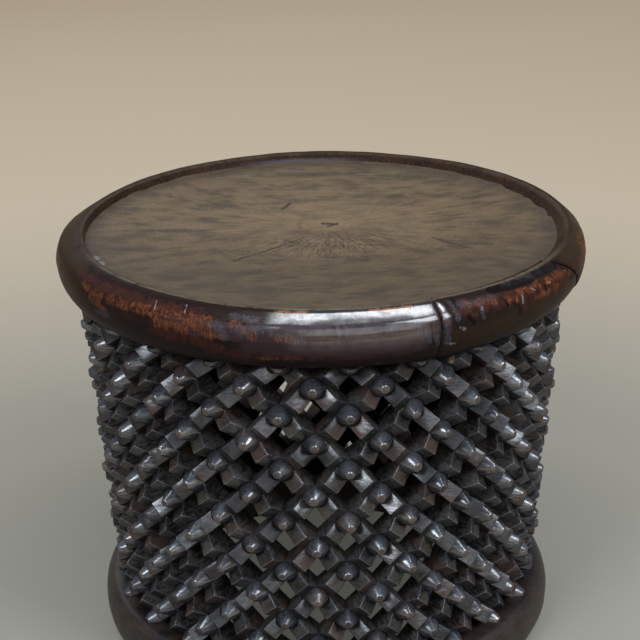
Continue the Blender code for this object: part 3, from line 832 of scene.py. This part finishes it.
class Panel:
    """Part of the wall: whole crossings, each with four half bars up to their ridges."""

    def __init__(self, first_column):
        self.columns = range(first_column, first_column + PANEL_COLUMNS)
        self.bm = bmesh.new()
        self.worn = self.bm.verts.layers.float.new("worn")
        self.depth = self.bm.verts.layers.float.new("depth")
        self.grime_and_shade = self.bm.verts.layers.float.new("grime_and_shade")
        self.tone = self.bm.faces.layers.float.new("tone")
        self.placed = {}

    def vertex(self, key, angle, height, proud, worn=0.0, depth=0.0, grime_and_shade=0.0):
        if key not in self.placed:
            made = self.bm.verts.new(wall_point(angle, height, proud))
            made[self.worn], made[self.depth], made[self.grime_and_shade] = worn, depth, grime_and_shade
            self.placed[key] = made
        return self.placed[key]

    def face(self, corners, tone=0.5):
        distinct = list(dict.fromkeys(corners))
        if len(distinct) > 2:
            self.bm.faces.new(distinct)[self.tone] = tone

    def add_half_bar(self, crossing, step):
        """The half of a bar from a crossing to its ridge, and the stretch of stud foot it meets."""
        other = (crossing[0] + step[0], crossing[1] + step[1])
        side = "right" if step[0] > 0 else "left"
        level = "down" if step[1] > 0 else "up"
        back_side = "left" if side == "right" else "right"
        back_level = "up" if level == "down" else "down"
        here, there = crossing_place(*crossing), crossing_place(*other)
        flat, upright = corner_offset(crossing, side), corner_offset(crossing, level)
        far_flat, far_upright = corner_offset(other, back_side), corner_offset(other, back_level)
        left, right = (crossing, other) if step[0] > 0 else (other, crossing)
        bar = (left[0] % COLUMNS, left[1], right[1])
        middle = 0.5 + HAND["middle"] * by_hand("middle", *bar) * step[0]
        ridge = RIDGE_HEIGHT * (1 + HAND["ridge"] * by_hand("ridge", *bar))
        edges = [part_way(moved(here, near), moved(there, far), middle)
                 for near, far in ((flat, far_upright), (upright, far_flat))]
        tone = 0.5 + 0.5 * by_hand("tone", *crossing, *step)
        ends = {0.0: side, 1.0: level}
        grid = []
        for along in ALONG_SHARES:
            line = []
            for across in ACROSS_SHARES:
                swing = across * math.pi / 2
                arc = moved(here, (flat[0] * math.cos(swing), upright[1] * math.sin(swing)))
                place = part_way(arc, part_way(*edges, across), along)
                proud = FOOT_RISE * math.sin(2 * swing) * (1 - along) + ridge * along
                worn = 0.0
                if across in ends:
                    proud -= EDGE_DROP
                    worn = 0.55
                if along == 1.0:
                    proud -= RIDGE_DROP
                    worn = max(worn, 0.75)
                if along == 0.0 and across in ends:
                    key = ("corner", crossing, ends[across], "front")
                elif along == 1.0:
                    key = ("ridge", bar, self.along_ridge(step, across))
                else:
                    key = ("roof", crossing, step, across, along)
                # Painted shade: the foot of each half bar is marked for darkening in the crease where
                # it meets the stud.
                grime_and_shade = 1.0 if along == 0.0 else 0.0
                line.append(self.vertex(key, *place, proud, worn, 0.0, grime_and_shade))
            grid.append(line)
        for index in range(len(ALONG_SHARES) - 1):
            for spot in range(len(ACROSS_SHARES) - 1):
                self.face((grid[index][spot], grid[index][spot + 1], grid[index + 1][spot + 1],
                           grid[index + 1][spot]), tone)
        walls = []
        for across, edge, near in ((0.0, 0, flat), (1.0, -1, upright)):
            columns = []
            for index, along in enumerate(ALONG_SHARES):
                angle, height = part_way(moved(here, near), edges[edge], along)
                front = ridge * along - EDGE_DROP
                column = [grid[index][edge]]
                deep = WALL_DEPTH + BACK_DEPTH * behind(angle)
                for share in DEPTH_SHARES:
                    proud = front + (-deep - front) * share
                    if along == 0.0:
                        key = ("corner", crossing, ends[across], share)
                    elif along == 1.0:
                        key = ("ridge wall", bar, self.along_ridge(step, across), share)
                    else:
                        key = ("wall", crossing, step, across, along, share)
                    column.append(self.vertex(key, angle, height, proud, 0.0, share))
                columns.append(column)
            for before, after in zip(columns, columns[1:]):
                for depth in range(len(DEPTH_SHARES)):
                    self.face((before[depth], after[depth], after[depth + 1], before[depth + 1]), tone)
            walls.append(columns)
        for index in range(len(ALONG_SHARES) - 1):
            self.face((walls[0][index][-1], walls[0][index + 1][-1], walls[1][index + 1][-1],
                       walls[1][index][-1]), tone)
        if not self.holds(other):
            self.face(grid[-1] + walls[1][-1][1:] + walls[0][-1][:0:-1], tone)
        return grid[0], walls

    def along_ridge(self, step, across):
        """Name a place on a ridge alike from both of its half bars, which see it mirrored."""
        return round(across if step[0] > 0 else 1 - across, 3)

    def holds(self, crossing):
        return crossing[0] in self.columns and 0 <= crossing[1] <= HALF_ROWS

    def add_crossing(self, crossing):
        """A stud on its foot, the back of the crossing, and a flat end on the first or last row."""
        steps = [(1, -1), (-1, -1), (-1, 1), (1, 1)]
        if crossing[1] == 0:
            steps = steps[2:]
        if crossing[1] == HALF_ROWS:
            steps = steps[:2]
        foot, backs = [], []
        for step in steps:
            arc, walls = self.add_half_bar(crossing, step)
            ends = (walls[0][0], walls[1][0])
            if step[0] * step[1] > 0:
                arc, ends = arc[::-1], ends[::-1]
            foot += arc if not foot else arc[1:]
            backs += ends if not backs else ends[1:]
        whole = len(steps) == 4
        if whole:
            foot, backs = foot[:-1], backs[:-1]
        angle, height = crossing_place(*crossing)
        name = (crossing[0] % COLUMNS, crossing[1])
        lean = [HAND["lean"] * by_hand(kind, *name) if whole else 0.0 for kind in ("lean", "nod")]
        girth = STUD_RADIUS * (1 + HAND["girth"] * by_hand("girth", *name))
        tall = STUD_HEIGHT * (1 + HAND["tall"] * by_hand("tall", *name))
        tone = 0.5 + 0.5 * by_hand("stud tone", *name)
        rings = [foot]
        for reach, rise, worn in STUD_RINGS:
            ring = []
            for spot in range(len(foot)):
                quarter, within = divmod(spot, len(ACROSS_SHARES) - 1)
                start = 0 if crossing[1] != 0 else 2
                swing = (start + quarter + ACROSS_SHARES[within]) * math.pi / 2
                across = girth * reach * math.cos(swing) + lean[0] * rise
                up = girth * reach * math.sin(swing) + lean[1] * rise
                radius = wall_radius(height) + tall * rise
                # Painted shade: the stud's lowest rings are marked for darkening, most at its foot.
                ring.append(self.vertex(("stud", crossing, rise, spot), angle + across / radius,
                                        height + up, tall * rise, worn, 0.0, max(0.0, 1 - rise * 2.2)))
            rings.append(ring)
        tip = self.vertex(("tip", crossing), angle + lean[0] / wall_radius(height), height + lean[1],
                          tall * 1.005, 1.0)
        spots = range(len(foot) if whole else len(foot) - 1)
        for inner, outer in zip(rings[1:], rings):
            for spot in spots:
                following = (spot + 1) % len(foot)
                self.face((outer[spot], outer[following], inner[following], inner[spot]), tone)
        for spot in spots:
            self.face((rings[-1][spot], rings[-1][(spot + 1) % len(foot)], tip), tone)
        self.face([column[-1] for column in backs], tone)
        if not whole:
            outline = [ring[0] for ring in rings] + [tip] + [ring[-1] for ring in reversed(rings)]
            self.face(backs[0][:0:-1] + outline + backs[-1][1:], tone)

    def build(self, name):
        for column in self.columns:
            for row in range(HALF_ROWS + 1):
                if (column + row) % 2:
                    self.add_crossing((column, row))
        bmesh.ops.recalc_face_normals(self.bm, faces=self.bm.faces[:])
        mesh = bpy.data.meshes.new(name)
        self.bm.to_mesh(mesh)
        self.bm.free()
        mesh.shade_smooth()
        mesh.set_sharp_from_angle(angle=LATTICE_SHARP_TURN)
        panel = add_object(name, mesh)
        weighted = panel.modifiers.new("flat facets", "WEIGHTED_NORMAL")
        weighted.keep_sharp = True
        return panel


def finish_lattice():
    """Smoke-dark wood with a waxy sheen: paler in the holes, bare at tips and worn spots; painted
    bluish sheen on studs and edges, painted shade in creases and deep in holes.
    """
    material, shader, place = new_finish("smoky lattice", {
        "Specular IOR Level": 0.08, "Coat Roughness": 0.21, "Coat IOR": 3.0})
    tones = LATTICE_TONES
    worn, depth, grime_and_shade, tone = (place.node("Attribute", {"attribute_name": name}, {}, "Fac")
                                for name in ("worn", "depth", "grime_and_shade", "tone"))
    clouds = mottle(stretched(place, 0.024, 0.024, 0.024))
    fibres = mottle(stretched(place, 0.010, 0.010, 0.0014), 3.0)
    nicks = mottle(stretched(place, 0.0034, 0.0034, 0.0034), 4.0, 0.62)
    grain = ease(clouds * 0.35 + fibres * 0.40 + nicks * 0.25, 0.41, 0.60)
    within = ease(depth, 0.02, 0.10)
    colour = tinted(within, tinted(grain, tones["front dark"], tones["front"]),
                    tinted(grain, tones["inside dark"], tones["inside"]))
    # Partly wear, partly painted sheen: stud flanks, edges and ridges get a pale bluish tone that
    # stands in for a reflection of bluish light from above.
    rubbed_and_sheen = ease(worn + (nicks - 0.5) * 0.4, 0.05, 0.60)
    colour = tinted(rubbed_and_sheen * (1 - within) * (0.45 + grain * 0.40), colour, tones["rubbed_and_sheen"])
    brown = ease(tone, 0.66, 0.90) * ease(fibres * 0.5 + clouds * 0.5, 0.42, 0.58)
    colour = tinted(brown * 0.75, colour, tones["brown"])
    spots = strokes(place, [(spot, (spot[0], spot[1], spot[2] + MM), size)
                            for spot, size in RUBBED_SPOTS], 0.8)
    spots = ease(spots + (nicks - 0.5) * 1.6 + (fibres - 0.5), 0.45, 0.95)
    colour = tinted(spots, colour, tones["spots"])
    bare = ease(worn + (nicks - 0.5) * 0.5, 0.72, 0.92)
    fresh = ease(tone + (nicks - 0.5) * 1.2, 0.1, 1.0)
    colour = tinted(bare, colour, tinted(fresh, tones["tip dark"], tones["tip"]))
    # Partly grime, partly painted shade: the creases round the studs' feet are darkened and lose some
    # of their coat.
    colour = tinted(grime_and_shade * ease(nicks, 0.30, 0.50) * 0.75, colour, tones["grime_and_shade"])
    # Painted shade: the back faces inside the drum, and the deepest part of the holes' walls, are
    # painted near-black and given no coat.
    back = ease(depth, 0.92, 1.0)
    feed(shader, "Base Color", tinted(back, colour, tones["back"]))
    feed(shader, "Roughness", 0.40 + nicks * 0.20)
    waxed = 1 - ease(fibres * 0.5 + nicks * 0.5, 0.42, 0.60) * 0.62
    waxed *= 0.50 + ease(clouds * 0.5 + nicks * 0.5, 0.40, 0.56) * 0.50
    dull = (1 - ease(tone, 0.25, 0.60)) * (1 - worn)
    waxed *= (1 - within * 0.8) * (1 - back) * (1 - bare * 0.55) * (1 - grime_and_shade * 0.6)
    waxed *= (1 - brown * 0.4) * (1 - dull * 0.6) * (0.50 + ease(worn, 0.1, 0.3) * 0.50)
    feed(shader, "Coat Weight", waxed)
    bump(shader, fibres * 0.5 + nicks * 0.8, 0.00060)
    return material


lattice_finish = finish_lattice()
for number in range(COLUMNS // PANEL_COLUMNS):
    panel = Panel(number * PANEL_COLUMNS).build(f"pierced_wall_{number + 1:02d}")
    panel.data.materials.append(lattice_finish)
    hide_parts(f"lattice_panel_{number + 1:02d}")
    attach(panel, "root")

# The foot: a plain ring carved in one with the drum, rounded outside, open in the middle,
# scuffed and knocked where it meets the floor.

FOOT_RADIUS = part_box("base_ring")[1].x
FOOT_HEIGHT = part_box("base_ring")[1].z
FOOT_INNER = WALL_RADIUS_FOOT - 0.030
FOOT_CHAMFER, FOOT_WEAR, FOOT_SEED = 0.002, 0.0010, 7
FOOT_ROUNDING = 0.0133
FOOT_SPOKES, FOOT_ROUND_STEPS = 300, 12


def make_foot():
    section = []
    middle = FOOT_HEIGHT / 2
    for step in range(2 * FOOT_ROUND_STEPS + 1):
        turn = math.pi / 2 * (step / FOOT_ROUND_STEPS - 1)
        radius = FOOT_RADIUS - FOOT_ROUNDING * (1 - math.cos(turn))
        outward = (math.cos(turn), math.sin(turn) * 0.3)
        section.append((radius, middle + middle * math.sin(turn), outward))
    eased = FOOT_INNER + FOOT_CHAMFER
    section += [(radius, height, (0, 0)) for radius, height in (
        (eased, FOOT_HEIGHT), (FOOT_INNER, FOOT_HEIGHT - FOOT_CHAMFER),
        (FOOT_INNER, FOOT_CHAMFER), (eased, 0))]
    loops = []
    for spoke in range(FOOT_SPOKES):
        angle = math.tau * spoke / FOOT_SPOKES
        loop = []
        for radius, height, (out, up) in section:
            place = carved(around(radius, angle, height), around(out, angle, up),
                           FOOT_WEAR * out, FOOT_SEED)
            place.z = min(FOOT_HEIGHT, max(0.0, place.z))
            loop.append(place)
        loops.append(loop)
    return solid_of("foot_ring", *joined(loops, ring=True), sharp=RIM_SHARP_TURN)


def finish_foot():
    material, shader, place = new_finish("scuffed foot", {"Specular IOR Level": 0.45})
    clouds = mottle(stretched(place, 0.030, 0.030, 0.016))
    fibres = mottle(stretched(place, 0.014, 0.014, 0.0018), 3.0)
    nicks = mottle(stretched(place, 0.0045, 0.0045, 0.0045), 3.0)
    height = coordinate(place, "Z")
    smoked = ease(clouds * 0.6 + fibres * 0.4, 0.40, 0.62)
    colour = tinted(smoked, (0.015, 0.011, 0.010), (0.050, 0.032, 0.024))
    rub = (1 - ease(height + (clouds - 0.5) * 0.02, 0.002, 0.016)) * ease(nicks, 0.40, 0.60)
    colour = tinted(rub * 0.8, colour, (0.17, 0.115, 0.080))
    feed(shader, "Base Color", colour)
    feed(shader, "Roughness", 0.36 + clouds * 0.16 + rub * 0.25)
    bump(shader, fibres * 0.6 + nicks * 0.5, 0.0006)
    return material


foot = make_foot()
foot.data.materials.append(finish_foot())
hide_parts("base_ring")
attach(foot, "root")
